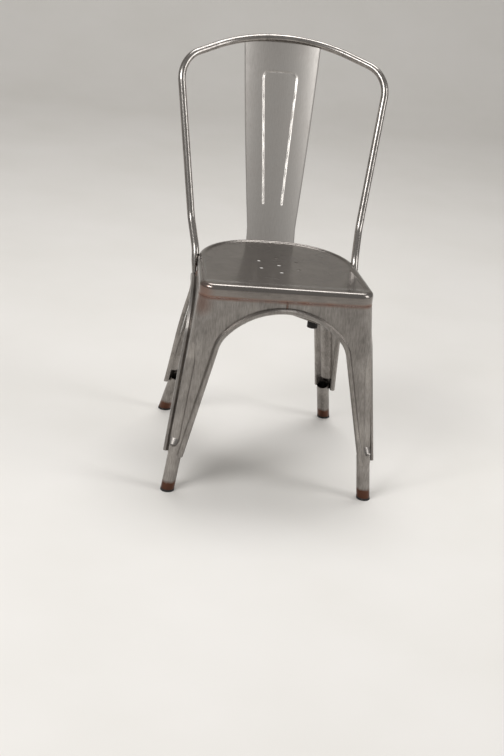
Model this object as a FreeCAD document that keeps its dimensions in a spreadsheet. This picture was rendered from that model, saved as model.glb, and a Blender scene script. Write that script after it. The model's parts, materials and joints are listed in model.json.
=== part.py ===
import FreeCAD, Part
import math
import os
from FreeCAD import Placement, Rotation, Vector

# A metal bistro chair: a pressed seat pan on four pressed sheet legs with rolled edges,
# a bent tube hoop and a sheet splat for the back, tube feet on rubber glides, and a
# crossed brace with stacking pads under the seat. Millimetres and degrees, +Z up,
# +Y to the back of the chair, the sitter faces -Y.

SIZES = (
    # the seat and the frame's outline where the two meet
    ("seat_height", 447.0, "floor to the crest of the seat's rim"),
    ("seat_depth_of_skirt", 27.0, "height of the seat pan's turned down edge"),
    ("seat_front", 178.5, "front face ahead of the middle, at the seat's weld seam"),
    ("seat_half_front", 180.3, "half width across the front corners, drawn sharp, at the seam"),
    ("seat_back", 146.2, "rear face behind the middle, at the seam"),
    ("side_taper", 3.72, "angle by which each side closes in towards the back, degrees"),
    ("front_corner", 30.0, "corner radius at the front of the seat, in plan"),
    ("back_corner", 150.0, "corner radius at the back of the seat, in plan"),
    ("pan_sheet", 1.2, "thickness of the seat pan"),
    ("roll_front", 20.0, "radius of the rolled front edge of the seat"),
    ("roll_side", 10.0, "radius of the rolled side edges"),
    ("roll_back", 8.0, "radius of the rolled rear edge"),
    ("dish_depth", 3.0, "depth of the seat's recess below its rim"),
    ("dish_front_crest", 22.0, "front edge to where the recess begins to fall"),
    ("dish_front_flat", 40.0, "front edge to the flat of the recess"),
    ("dish_side_crest", 10.6, "side edge to where the recess begins to fall"),
    ("dish_side_flat", 13.5, "side edge to the flat of the recess"),
    ("drain_hole", 8.5, "diameter of each drain hole"),
    ("drain_circle", 92.0, "pitch circle of the six outer drain holes"),
    ("drain_middle", 19.0, "middle drain hole ahead of the seat's middle"),
    # the legs
    ("leg_sheet", 1.2, "thickness of the pressed leg sheet"),
    ("leg_bottom", 82.0, "height of the lower edge of the leg sheet"),
    ("foot_front", 205.5, "front face ahead of the middle, at the lower edge of the legs"),
    ("foot_half_front", 214.5, "half width across the front legs there, drawn sharp"),
    ("foot_back", 209.0, "back face behind the middle there"),
    ("arch_top", 396.0, "height of the four arches at their middles"),
    ("arch_radius", 155.0, "radius of the front and rear arches at the top"),
    ("shoulder_radius", 60.0, "radius of each arch where it turns into the leg"),
    ("shoulder_height", 315.0, "height at which the leg's inner edge becomes straight"),
    ("side_arch_radius", 122.0, "radius of the side arches at the top"),
    ("side_shoulder_radius", 50.0, "radius of a side arch where it turns into the leg"),
    ("side_arch_middle", -14.0, "middle of the side arches behind the seat's middle"),
    ("strip_high", 60.0, "width of the front leg's strips at the shoulder"),
    ("strip_low", 31.0, "width of every leg's strips at the lower edge"),
    ("back_strip_in", 118.0, "half width of the rear arch at the shoulder"),
    ("side_strip_back", 100.0, "rear edge of the side arch behind the middle, at the shoulder"),
    ("bead_radius", 5.5, "outer radius of the rolled edge along the arches"),
    ("bead_lift", 4.4, "centre of the rolled edge outside the sheet's outer face"),
    ("flute_radius", 18.0, "radius of the flute pressed into each leg's corner"),
    ("flute_low", 114.0, "height of the flute's lower round"),
    ("flute_high", 286.0, "height where the flute begins to run out"),
    ("flute_runout", 82.0, "length of the flute's run out"),
    ("flute_depth_low", 11.0, "depth of the flute at its lower round"),
    ("flute_depth_high", 8.0, "depth of the flute where it begins to run out"),
    # the feet
    ("foot_tube_radius", 14.0, "outer radius of a foot tube"),
    ("foot_tube_wall", 1.5, "wall of a foot tube"),
    ("foot_tube_length", 97.0, "length of a foot tube's axis above the floor"),
    ("foot_bite", 0.3, "depth to which the leg's weld lets the tube into the sheet"),
    ("glide_height", 5.0, "height of a rubber glide's flange above the floor"),
    ("glide_rim", 0.4, "radius by which a glide's flange stands out past its tube"),
    ("glide_plug", 16.0, "length of a glide's plug inside its tube"),
    ("plug_clearance", 0.15, "gap between a glide's plug and the tube's bore"),
    # the back
    ("back_lean", 20.3, "lean of the back, degrees"),
    ("hoop_radius", 8.0, "outer radius of the hoop's tube"),
    ("hoop_wall", 1.2, "wall of the hoop's tube"),
    ("hoop_top", 858.8, "height of the hoop's centreline at the middle"),
    ("hoop_crown", 529.0, "radius of the hoop's top bar seen from the front"),
    ("hoop_crown_half", 80.0, "half width of the run that the top bar's bend is drawn on"),
    ("hoop_shoulder", 815.5, "height where the top bar and a leg of the hoop would meet"),
    ("hoop_knee", 502.0, "height where the hoop's lower bend starts forward"),
    ("hoop_knee_bend", 70.0, "radius of the hoop's two lower bends"),
    ("hoop_hip", 446.0, "height where the hoop's end turns down beside the seat"),
    ("hoop_hip_half", 171.0, "half width of the hoop's centreline there"),
    ("hoop_hip_back", 36.0, "hoop's centreline behind the middle there"),
    ("hoop_end_half", 172.8, "half width of the hoop's centreline at its pinched ends"),
    ("hoop_high_back", 182.8, "hoop's centreline behind the middle, legs' upper end"),
    ("hoop_bend", 66.0, "radius of the hoop's two upper bends"),
    ("hoop_half_high", 217.6, "half width of the hoop's centreline below its bends"),
    ("hoop_half_low", 184.5, "half width of the hoop's centreline at its lower bends"),
    ("hoop_low", 520.0, "height of the hoop's lower bends"),
    ("hoop_high", 760.0, "height of the upper end of the hoop's straight legs"),
    ("hoop_low_back", 96.0, "hoop's centreline behind the middle at its lower bends"),
    ("hoop_end", 396.0, "height of the hoop's pinched ends"),
    ("hoop_end_back", 19.0, "pinched ends behind the middle"),
    ("pinch_thick", 7.0, "thickness of the hoop's pinched ends"),
    ("splat_sheet", 1.5, "thickness of the splat"),
    ("splat_back", 138.5, "splat's face behind the middle, at the height of the rim"),
    ("splat_hollow", 290.0, "radius of the splat's hollow across its width"),
    ("splat_half_low", 53.0, "half width of the splat at its foot"),
    ("splat_half_high", 84.0, "half width of the splat under the top bar"),
    ("splat_waist", 475.0, "height at which the splat's sides begin to spread"),
    ("splat_foot_back", 138.0, "splat's face behind the middle at its foot on the seat's rim"),
    ("groove_top", 790.0, "height of the top run of the groove"),
    ("groove_foot", 522.0, "height of the groove's two open ends"),
    ("groove_half_high", 37.0, "half width of the groove at its top"),
    ("groove_half_low", 20.0, "half width of the groove at its foot"),
    ("groove_corner", 9.0, "radius of the groove's two corners"),
    ("groove_width", 4.0, "width of the groove"),
    ("groove_depth", 1.3, "depth of the groove"),
    # the brace under the seat
    ("brace_height", 350.0, "height of the middle of the brace's flat bars"),
    ("brace_thick", 4.0, "thickness of a brace bar"),
    ("brace_wide", 25.0, "width of a brace bar"),
    ("weld_radius", 2.2, "radius of the weld that joins two legs over an arch"),
    ("weld_length", 13.0, "length of that weld"),
    ("rivet_radius", 3.0, "radius of the rivet where the bars cross"),
    ("rivet_head", 6.0, "radius of the rivet's heads"),
    ("rivet_head_height", 2.5, "height of each rivet head"),
    ("pad_radius", 11.0, "radius of a stacking pad"),
    ("pad_foot", 333.0, "height of the underside of the stacking pads"),
    ("pad_stud", 2.8, "radius of the stud that holds a pad in its bar"),
    ("pad_button", 5.0, "radius of the button at the top of a pad's stud"),
    ("pad_reach", 105.0, "distance of each pad from the crossing"),
)

UP = Vector(0, 0, 1)
ACROSS = Vector(1, 0, 0)
BACKWARD = Vector(0, 1, 0)
MIDDLE = Vector(0, 0, 0)
REACH = 600.0  # longer than any tool that only has to clear the chair

doc = FreeCAD.newDocument("bistro_chair")
sheet = doc.addObject("Spreadsheet::Sheet", "Sizes")
for row, (alias, value, meaning) in enumerate(SIZES, start=1):
    sheet.set("A%d" % row, meaning)
    sheet.set("B%d" % row, str(value))
    sheet.setAlias("B%d" % row, alias)
doc.recompute()


def size(alias):
    """A driving size, read back from the sheet."""
    return float(sheet.get(alias))


# The frame's skin: a front, a rear and two side faces, all flat and leaning, from the legs'
# lower edge up to the weld seam under the seat, with a cone that rounds each corner.
SEAM = size("seat_height") - size("seat_depth_of_skirt")
LOW = size("leg_bottom")
SPARE = 16.0  # the skin is drawn this much longer at its foot, and a cut trims it
TAPER = math.radians(size("side_taper"))
SIDE_ALONG = Vector(-math.sin(TAPER), math.cos(TAPER), 0)


class Face:
    """A leaning flat face of the frame, with its level, rising and outward directions."""

    def __init__(self, low, top, level):
        self.origin = low
        self.level = level
        self.out = level.cross(top - low).normalize()
        self.rise = self.out.cross(level)

    def placement(self, lift):
        rotation = Rotation(self.level, self.rise, self.out, "ZXY")
        return Placement(self.origin + self.out * lift, rotation)

    def at(self, direction, value, height):
        """The face's own coordinates of its point with a given X or Y and height."""
        base = self.origin + self.rise * ((height - self.origin.z) / self.rise.z)
        along = (value - base.dot(direction)) / self.level.dot(direction)
        offset = base + self.level * along - self.origin
        return Vector(offset.dot(self.level), offset.dot(self.rise), 0)


def sharp(half_front, front, back, height):
    """The front and rear corners of the frame at a height, drawn sharp."""
    narrowing = math.tan(TAPER) * (front + back)
    return Vector(half_front, -front, height), Vector(half_front - narrowing, back, height)


FRONT_TOP, BACK_TOP = sharp(
    size("seat_half_front"), size("seat_front"), size("seat_back"), SEAM
)
FRONT_LOW, BACK_LOW = sharp(
    size("foot_half_front"), size("foot_front"), size("foot_back"), LOW
)
FRONT_FACE = Face(
    Vector(0, -size("foot_front"), LOW), Vector(0, -size("seat_front"), SEAM), ACROSS
)
SIDE_FACE = Face(FRONT_LOW, FRONT_TOP, SIDE_ALONG)
REAR_FACE = Face(
    Vector(0, size("foot_back"), LOW), Vector(0, size("seat_back"), SEAM), -ACROSS
)
REAR_VIEW = Face(Vector(0, size("seat_back"), 0), Vector(0, size("seat_back"), 1), -ACROSS)


class Corner:
    """A cone that rounds the corner between two faces and touches both of them."""

    def __init__(self, first, second, low, top, low_radius, top_radius):
        self.first = first
        self.second = second
        edge = (top - low).normalize()
        inward = (first.out + second.out).normalize() * -1
        level_in = (inward - edge * (inward.z / edge.z)).normalize()
        turn = first.level.getAngle(second.level)
        cut_back = 1 / math.cos(turn / 2) - 1
        tip_top = top + level_in * cut_back * top_radius
        self.tip_low = low + level_in * cut_back * low_radius
        self.apex = low - (top - low) * (low_radius / (top_radius - low_radius))
        self.ridge = (tip_top - self.apex).normalize()
        swing = edge.getAngle(self.ridge)
        half = math.sqrt((1 + first.out.dot(second.out)) / 2)
        self.slope = math.atan2(math.sin(swing) * half, 1 - math.cos(swing) * half)
        self.axis = edge * math.cos(swing + self.slope) + inward * math.sin(swing + self.slope)
        self.ridge_out = (self.ridge * math.cos(self.slope) - self.axis) / math.sin(self.slope)

    def apex_at(self, grow):
        return self.apex - self.axis * (grow / math.sin(self.slope))

    def touch(self, face, grow, height):
        """The point at a height where the cone touches a face, both moved outward."""
        ray = (self.axis - face.out * self.axis.dot(face.out)).normalize()
        apex = self.apex_at(grow)
        return apex + ray * ((height - apex.z) / ray.z)

    def ridge_at(self, height):
        return self.apex + self.ridge * ((height - self.apex.z) / self.ridge.z)

    def surface(self, grow, low, top):
        """The cone between its two touching lines, longer than the heights asked for."""
        apex = self.apex_at(grow)
        start = apex + (self.touch(self.first, grow, low) - apex) * 0.8
        last = apex + (self.touch(self.first, grow, top) - apex) * 1.3
        across_first = self.across(self.first)
        across_second = self.across(self.second)
        turn = math.degrees(across_first.getAngle(across_second))
        if across_first.cross(across_second).dot(self.axis) < 0:
            turn = -turn
        return Part.makeLine(start, last).revolve(apex, self.axis, turn)

    def across(self, face):
        along = face.out.dot(self.axis)
        return (face.out - self.axis * along).normalize()


def plan_radius(tube, lean):
    """The corner radius at the legs' foot that lets a leg wrap its leaning foot tube."""
    return (tube + size("leg_sheet")) / math.cos(lean) - size("foot_bite")


def make_corner(first, second, low, top, top_radius):
    """A corner whose foot wraps the foot tube."""
    tube = size("foot_tube_radius")
    rough = Corner(first, second, low, top, tube, top_radius)
    lean = rough.ridge.getAngle(UP)
    return Corner(first, second, low, top, plan_radius(tube, lean), top_radius)


FRONT_CORNER = make_corner(FRONT_FACE, SIDE_FACE, FRONT_LOW, FRONT_TOP, size("front_corner"))
BACK_CORNER = make_corner(SIDE_FACE, REAR_FACE, BACK_LOW, BACK_TOP, size("back_corner"))


def mirror(shape):
    return shape.mirror(MIDDLE, ACROSS)


def flat_face(*corners):
    return Part.Face(Part.makePolygon(list(corners) + [corners[0]]))


def level_edges(faces, height):
    """The faces' edges that lie at a height."""
    found = []
    for face in faces:
        for edge in face.Edges:
            if all(abs(vertex.Z - height) < 1e-6 for vertex in edge.Vertexes):
                found.append(edge)
    return found


def closed(faces):
    """The solid inside faces that share their edges."""
    shell = Part.Compound(faces)
    shell.sewShape()
    solid = Part.Solid(shell.Shells[0])
    return solid if solid.Volume > 0 else solid.reversed()


def skin(grow):
    """The solid inside the frame's skin, every face moved outward by grow."""
    low = LOW - SPARE
    slab = Part.makeBox(2 * REACH, 2 * REACH, SEAM - low, Vector(-REACH, -REACH, low))

    def pair(corner, face):
        return corner.touch(face, grow, low), corner.touch(face, grow, SEAM)

    front_low, front_top = pair(FRONT_CORNER, FRONT_FACE)
    side_low, side_top = pair(FRONT_CORNER, SIDE_FACE)
    turn_low, turn_top = pair(BACK_CORNER, SIDE_FACE)
    rear_low, rear_top = pair(BACK_CORNER, REAR_FACE)
    rounds = []
    for corner in (FRONT_CORNER, BACK_CORNER):
        rounds += corner.surface(grow, low, SEAM).common(slab).Faces
    right = rounds + [flat_face(side_low, turn_low, turn_top, side_top)]
    faces = right + [mirror(face) for face in right]
    for first, second in ((front_low, front_top), (rear_low, rear_top)):
        faces.append(flat_face(first, mirrored(first), mirrored(second), second))
    for height in (low, SEAM):
        edges = Part.__sortEdges__(level_edges(faces, height))
        faces.append(Part.Face(Part.Wire(edges)))
    return closed(faces)


def mirrored(point):
    return Vector(-point.x, point.y, point.z)


# The flutes: a channel with a scooped lower end pressed into each leg's corner. Its tool stands outside
# the ridge and narrows at its upper end, so that the channel runs out in a pointed arch.
def flute_tool(corner, grow):
    """The pressing tool for one leg, larger by grow for the inner face of the sheet."""
    radius = size("flute_radius")
    low = corner.ridge_at(size("flute_low"))
    high = corner.ridge_at(size("flute_high"))
    low += corner.ridge_out * (radius - size("flute_depth_low"))
    high += corner.ridge_out * (radius - size("flute_depth_high"))
    length = (high - low).Length
    tip = length + size("flute_runout")
    wide = radius + grow
    slim = radius / 8 + grow
    scoop = wide * math.sqrt(0.5)
    outline = [
        Vector(0, 0, -wide), Vector(scoop, 0, -scoop), Vector(wide, 0, 0),
        Vector(wide, 0, length), Vector(slim, 0, tip), Vector(0, 0, tip), Vector(0, 0, -wide),
    ]
    profile = Part.makePolygon(outline)
    tool = Part.Face(profile).revolve(MIDDLE, UP, 360)
    tool.Placement = Placement(low, Rotation(UP, high - low))
    return tool


# The arches: each half is drawn on a flat, as a top arc, a shoulder arc and a straight run.
def half_arch(top, radius, shoulder, high, low, grow):
    """Edges of half an arch in its own flat, outside the opening by grow.

    top is the arch's crown, and the straight run goes down through high to low."""
    side = 1 if high.x > top.x else -1
    run = (low - high).normalize()
    inward = Vector(run.y, -run.x, 0) * side
    centre = Vector(top.x, top.y - radius, 0)
    start = high + inward * shoulder - centre
    half_b = start.dot(run)
    rest = start.dot(start) - (radius - shoulder) ** 2
    along = -half_b - math.sqrt(half_b * half_b - rest)
    shoulder_centre = centre + start + run * along
    toward = (shoulder_centre - centre).normalize()
    crown = Vector(top.x, top.y + grow, 0)
    meet = centre + toward * (radius + grow)
    touch = shoulder_centre - inward * (shoulder + grow)
    foot = low - inward * grow
    crown_middle = centre + (BACKWARD + toward).normalize() * (radius + grow)
    turn_middle = shoulder_centre + (toward - inward).normalize() * (shoulder + grow)
    return [
        Part.Arc(crown, crown_middle, meet).toShape(),
        Part.Arc(meet, turn_middle, touch).toShape(),
        Part.makeLine(touch, foot),
    ]


def opening_under(edges, top, depth):
    """A solid that clears the sheet under half an arch, across the face by depth each way."""
    crown = edges[0].valueAt(edges[0].FirstParameter)
    foot = edges[-1].valueAt(edges[-1].LastParameter)
    middle_foot = Vector(top.x, foot.y, 0)
    outline = Part.Wire(edges + [
        Part.makeLine(foot, middle_foot),
        Part.makeLine(middle_foot, crown),
    ])
    face = Part.Face(outline)
    face.translate(UP * -depth)
    return face.extrude(UP * (2 * depth))


def bar_along(edges, radius, sides, out):
    """A bar with an even-sided section along a smooth run of lines and arcs."""
    start = edges[0].valueAt(edges[0].FirstParameter)
    heading = edges[0].tangentAt(edges[0].FirstParameter)
    up = (out - heading * out.dot(heading)).normalize()
    sideways = heading.cross(up)
    corners = []
    for step in range(sides + 1):
        angle = math.pi * (2 * step + 1) / sides
        corners.append(start + (up * math.cos(angle) + sideways * math.sin(angle)) * radius)
    section = Part.makePolygon(corners)
    faces = [Part.Face(section)]
    for edge in edges:
        if edge.Curve.TypeId == "Part::GeomLine":
            run = edge.valueAt(edge.LastParameter) - edge.valueAt(edge.FirstParameter)
            faces += section.extrude(run).Faces
            section.translate(run)
            continue
        heading = edge.tangentAt(edge.FirstParameter)
        centre = edge.Curve.Center
        axis = (edge.valueAt(edge.FirstParameter) - centre).cross(heading)
        turn = math.degrees(edge.Length / edge.Curve.Radius)
        faces += section.revolve(centre, axis, turn).Faces
        section.rotate(centre, axis, turn)
    faces.append(Part.Face(section))
    return closed(faces)


def smooth_arcs(points, heading):
    """A chain of arcs through points, each leaving in the direction the last arrived in."""
    edges = []
    for start, last in zip(points, points[1:]):
        chord = last - start
        along = Vector(chord).normalize()
        bulge = heading - along * heading.dot(along)
        turn = heading.getAngle(chord)
        middle = start + chord * 0.5
        if bulge.Length > 1e-9:
            middle += bulge.normalize() * (chord.Length / 2 * math.tan(turn / 2))
        edges.append(Part.Arc(start, middle, last).toShape())
        heading = along * (2 * heading.dot(along)) - heading
    return edges


def arch_edges(face, direction, middle, high_value, low_value, radius, shoulder):
    """Half an arch on a face, at the rolled edge's centre, carried on below the legs."""
    top = face.at(direction, middle, size("arch_top"))
    high = face.at(direction, high_value, size("shoulder_height"))
    low = face.at(direction, low_value, LOW)
    below = low + (low - high) * 0.05
    return top, half_arch(top, radius, shoulder, high, below, size("bead_radius"))


def placed(shape, placement):
    copy = shape.copy()
    copy.Placement = placement.multiply(copy.Placement)
    return copy


BEAD_SIDES = 6
BORE_SIDES = 4
THROUGH = 90.0  # depth each way of the tools that clear the sheet under an arch


def rolled_edge(path, out):
    """The rolled edge: a bar with its bore cut out."""
    bead = size("bead_radius")
    bore = bar_along(path, bead - size("leg_sheet"), BORE_SIDES, out)
    return bar_along(path, bead, BEAD_SIDES, out).cut(bore)


def flat_arch(face, direction, middle, high_value, low_value, radius, shoulder):
    """The opening under half an arch on a flat face, and its rolled edge."""
    top, edges = arch_edges(
        face, direction, middle, high_value, low_value, radius, shoulder
    )
    opening = placed(opening_under(edges, top, THROUGH), face.placement(0))
    return opening, placed(rolled_edge(edges, UP), face.placement(size("bead_lift")))


def on_skin(solid, face, point):
    """The outermost point of a skin over a point of a face's flat."""
    start = face.placement(-THROUGH).multVec(point)
    ray = solid.common(Part.makeLine(start, start + face.out * (2 * THROUGH)))
    return max((vertex.Point for vertex in ray.Vertexes), key=lambda spot: spot.dot(face.out))


def curved_arch(face, direction, middle, high_value, low_value, radius, shoulder):
    """The same where the skin is round, so that the rolled edge follows it."""
    top, edges = arch_edges(
        face, direction, middle, high_value, low_value, radius, shoulder
    )
    opening = placed(opening_under(edges, top, THROUGH), face.placement(0))
    lifted = skin(size("bead_lift"))
    points = []
    for edge, steps in zip(edges, (3, 2, 2)):
        first, last = edge.FirstParameter, edge.LastParameter
        for step in range(steps):
            spot = edge.valueAt(first + (last - first) * step / steps)
            points.append(on_skin(lifted, face, spot))
    points.append(on_skin(lifted, face, edges[-1].valueAt(edges[-1].LastParameter)))
    side = 1 if high_value > middle else -1
    heading = direction * side
    heading -= face.out * heading.dot(face.out)
    return opening, rolled_edge(smooth_arcs(points, heading.normalize()), face.out)


def front_sharp(height):
    """The front legs' corner at a height, drawn sharp."""
    return FRONT_LOW + (FRONT_TOP - FRONT_LOW) * ((height - LOW) / (SEAM - LOW))


SHOULDER = size("shoulder_height")
SIDE_MIDDLE = size("side_arch_middle")


def tube_line(corner):
    """Where a foot tube's axis meets the floor, and its direction upward."""
    inset = size("foot_tube_radius") + size("leg_sheet") - size("foot_bite")
    point = corner.tip_low - corner.ridge_out * inset
    return point - corner.ridge * (point.z / corner.ridge.z), corner.ridge


def leg(sheet, arches, corner):
    """One leg: its sheet cleared under two arches, with their rolled edges."""
    below = Part.makeBox(2 * REACH, 2 * REACH, REACH, Vector(-REACH, -REACH, LOW - REACH))
    floor, along = tube_line(corner)
    tube = Part.makeCylinder(size("foot_tube_radius"), size("foot_tube_length"), floor, along)
    cleared = sheet.cut([opening for opening, rolled in arches])
    return cleared.fuse([rolled for opening, rolled in arches]).cut(below).cut(tube)


def inside():
    """The space inside the sheet of the legs, flutes and all."""
    gauge = size("leg_sheet")
    tools = [flute_tool(corner, gauge) for corner in (FRONT_CORNER, BACK_CORNER)]
    return skin(-gauge).cut(tools + [mirror(tool) for tool in tools])


def right_legs():
    """The front and the rear leg on the right, which meet at the side arch's middle."""
    side_size = (size("side_arch_radius"), size("side_shoulder_radius"))
    end_size = (size("arch_radius"), size("shoulder_radius"))
    front = flat_arch(
        FRONT_FACE, ACROSS, 0, front_sharp(SHOULDER).x - size("strip_high"),
        FRONT_LOW.x - size("strip_low"), *end_size
    )
    side_front = flat_arch(
        SIDE_FACE, BACKWARD, SIDE_MIDDLE, front_sharp(SHOULDER).y + size("strip_high"),
        FRONT_LOW.y + size("strip_low"), *side_size
    )
    side_back = curved_arch(
        SIDE_FACE, BACKWARD, SIDE_MIDDLE, size("side_strip_back"),
        BACK_LOW.y - size("strip_low"), *side_size
    )
    rear = curved_arch(
        REAR_VIEW, ACROSS, 0, size("back_strip_in"), BACK_LOW.x - size("strip_low"), *end_size
    )
    half = Part.makeBox(REACH, 2 * REACH, 2 * REACH, Vector(0, -REACH, -REACH))
    tools = [flute_tool(corner, 0) for corner in (FRONT_CORNER, BACK_CORNER)]
    wall = skin(0).common(half).cut(tools).cut(inside())
    crown = SIDE_FACE.at(BACKWARD, SIDE_MIDDLE, size("arch_top"))
    ahead = Part.makeBox(REACH, 2 * REACH, 2 * REACH, Vector(-REACH, -REACH, -REACH))
    ahead = placed(ahead, SIDE_FACE.placement(0).multiply(Placement(crown, Rotation())))
    return (
        leg(wall.common(ahead), (front, side_front), FRONT_CORNER),
        leg(wall.cut(ahead), (rear, side_back), BACK_CORNER),
    )


# The seat pan. Its outline has the same four faces as the frame, with round corners.
def corner_arc(radius, y, start, last):
    """A corner's arc in plan, tangent to the side."""
    side_out = Vector(math.cos(TAPER), math.sin(TAPER), 0)
    reach = FRONT_TOP.dot(side_out) - radius
    centre = Vector((reach - y * side_out.y) / side_out.x, y, SEAM)
    return Part.ArcOfCircle(Part.Circle(centre, UP, radius), start, last).toShape()


def seat_outline():
    """The seat's outline at the seam, as a face."""
    front, back = size("front_corner"), size("back_corner")
    front_arc = corner_arc(front, front - size("seat_front"), -math.pi / 2, TAPER)
    back_arc = corner_arc(back, size("seat_back") - back, TAPER, math.pi / 2)
    front_end = front_arc.valueAt(front_arc.FirstParameter)
    back_end = back_arc.valueAt(back_arc.LastParameter)
    side = Part.makeLine(
        front_arc.valueAt(front_arc.LastParameter), back_arc.valueAt(back_arc.FirstParameter)
    )
    edges = [front_arc, side, back_arc]
    edges += [mirror(edge) for edge in edges]
    edges += [Part.makeLine(end, mirrored(end)) for end in (front_end, back_end)]
    return Part.Face(Part.Wire(Part.__sortEdges__(edges)))


def rolled_block(face, height, roll):
    """A block on the face, its top edge rounded by three narrow facets."""
    top = face.CenterOfMass.z + height
    block = face.extrude(UP * height)
    broad = roll * (1 - math.tan(math.pi / 8))
    narrow = roll * (math.tan(math.pi / 8) - math.tan(math.pi / 16))
    block = block.makeChamfer(broad, level_edges([block], top))
    rims = level_edges([block], top) + level_edges([block], top - broad)
    return block.makeChamfer(narrow, rims)


def recess(outline, drop):
    """The block that sinks the seat's recess, moved down by drop."""
    depth = size("dish_depth")
    floor = size("seat_height") - depth - drop
    crest = outline.makeOffset2D(-size("dish_side_crest"))
    crest.translate(UP * (floor - SEAM))
    block = crest.extrude(UP * (3 * depth))
    block = block.makeChamfer(depth, level_edges([block], floor))
    start = Vector(0, size("dish_front_crest") - size("seat_front"), floor + depth)
    fall = Vector(0, size("dish_front_flat") - size("dish_front_crest"), -depth)
    ramp = Part.makeBox(2 * REACH, REACH, REACH, Vector(-REACH, 0, 0))
    ramp.Placement = Placement(start, Rotation(BACKWARD, fall))
    return block.common(ramp)


def drain_holes():
    centre = Vector(0, -size("drain_middle"), SEAM)
    spots = [centre]
    for step in range(6):
        angle = math.radians(90 + 60 * step)
        along = Vector(math.cos(angle), math.sin(angle), 0)
        spots.append(centre + along * (size("drain_circle") / 2))
    length = 2 * size("seat_depth_of_skirt")
    return [Part.makeCylinder(size("drain_hole") / 2, length, spot) for spot in spots]


def seat_block():
    """The seat's outside as a solid block."""
    return rolled_block(seat_outline(), size("seat_depth_of_skirt"), size("roll_side"))


def seat_pan():
    outline = seat_outline()
    gauge = size("pan_sheet")
    inner = outline.makeOffset2D(-gauge)
    height = size("seat_depth_of_skirt") - gauge
    hollow = rolled_block(inner, height, size("roll_side") - gauge).cut(recess(outline, gauge))
    return seat_block().cut(recess(outline, 0)).cut(hollow).cut(drain_holes())


# The back hoop: straight runs of tube joined by round bends, from the middle of the top
# bar round to a pinched end outside the seat.
def bent_path(corners, radii):
    """Lines and arcs through a polyline, its corners rounded by the radii."""
    edges = []
    start = corners[0]
    for before, corner, after, radius in zip(corners, corners[1:], corners[2:], radii):
        arrive = (corner - before).normalize()
        leave = (after - corner).normalize()
        turn = arrive.getAngle(leave)
        reach = radius * math.tan(turn / 2)
        first, last = corner - arrive * reach, corner + leave * reach
        inward = (leave - arrive).normalize()
        crest = corner + inward * (radius / math.cos(turn / 2) - radius)
        if (first - start).Length > 1e-6:
            edges.append(Part.makeLine(start, first))
        edges.append(Part.Arc(first, crest, last).toShape())
        start = last
    edges.append(Part.makeLine(start, corners[-1]))
    return edges


LEAN = math.radians(size("back_lean"))
HOOP_LOW = Vector(size("hoop_half_low"), size("hoop_low_back"), size("hoop_low"))
HOOP_HIGH = Vector(size("hoop_half_high"), size("hoop_high_back"), size("hoop_high"))
HOOP_SIDES = 12
HOOP_BORE_SIDES = 6


def on_hoop_leg(height):
    share = (height - HOOP_LOW.z) / (HOOP_HIGH.z - HOOP_LOW.z)
    return HOOP_LOW + (HOOP_HIGH - HOOP_LOW) * share


def splat_y(height):
    """How far behind the middle the splat's face lies at a height, at its middle."""
    return size("splat_back") + math.tan(LEAN) * (height - size("seat_height"))


def hoop_path():
    """The right half of the hoop's centreline."""
    crown = Vector(0, splat_y(size("hoop_top")), size("hoop_top"))
    bar = crown + ACROSS * size("hoop_crown_half")
    shoulder = on_hoop_leg(size("hoop_shoulder"))
    knee = on_hoop_leg(size("hoop_knee"))
    hip = Vector(size("hoop_hip_half"), size("hoop_hip_back"), size("hoop_hip"))
    end = Vector(size("hoop_end_half"), size("hoop_end_back"), size("hoop_end"))
    crown_turn = ACROSS.getAngle(shoulder - bar)
    crown_radius = size("hoop_crown_half") / math.tan(crown_turn / 2)
    bends = (crown_radius, size("hoop_bend"), size("hoop_knee_bend"), size("hoop_knee_bend"))
    return bent_path([crown, bar, shoulder, knee, hip, end], bends)


def hoop_bar():
    """The whole hoop as a solid bar."""
    right = bar_along(hoop_path(), size("hoop_radius"), HOOP_SIDES, BACKWARD)
    return right.fuse(mirror(right)).removeSplitter()


def pinch_tool():
    """What the press takes off the outside of the hoop's right end."""
    skirt = SIDE_FACE.at(BACKWARD, size("hoop_hip_back"), SEAM)
    outer = SIDE_FACE.placement(0).multVec(skirt).x + size("pinch_thick")
    low = size("hoop_end") - 1
    high = size("hoop_hip") + 40
    wedge = Part.Face(Part.makePolygon([
        Vector(outer, 0, low), Vector(outer, 0, SEAM), Vector(outer + 14, 0, high),
        Vector(outer + 40, 0, high), Vector(outer + 40, 0, low), Vector(outer, 0, low),
    ]))
    return wedge.extrude(BACKWARD * 90)


def back_hoop():
    bar = hoop_bar().cut([pinch_tool(), mirror(pinch_tool()), seat_block(), skin(0)])
    inner = size("hoop_radius") - size("hoop_wall")
    bore = bar_along(hoop_path()[:-2], inner, HOOP_BORE_SIDES, BACKWARD)
    return bar.cut([bore, mirror(bore)])


# The splat: a leaning sheet with the same hollow all the way up, from the seat's rim to
# the underside of the top bar.
def splat_band():
    """The hollow sheet, wider and longer than the splat."""
    hollow = size("splat_hollow")
    foot = Vector(0, splat_y(SEAM), SEAM)
    rise = Vector(0, math.sin(LEAN), math.cos(LEAN))
    length = (size("hoop_top") - SEAM) / rise.z
    centre = foot - rise.cross(ACROSS) * hollow
    ring = Part.makeCylinder(hollow + size("splat_sheet"), length, centre, rise)
    ring = ring.cut(Part.makeCylinder(hollow, length, centre, rise))
    return ring.common(Part.makeBox(REACH, REACH, REACH, Vector(-REACH / 2, 0, SEAM)))


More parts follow.
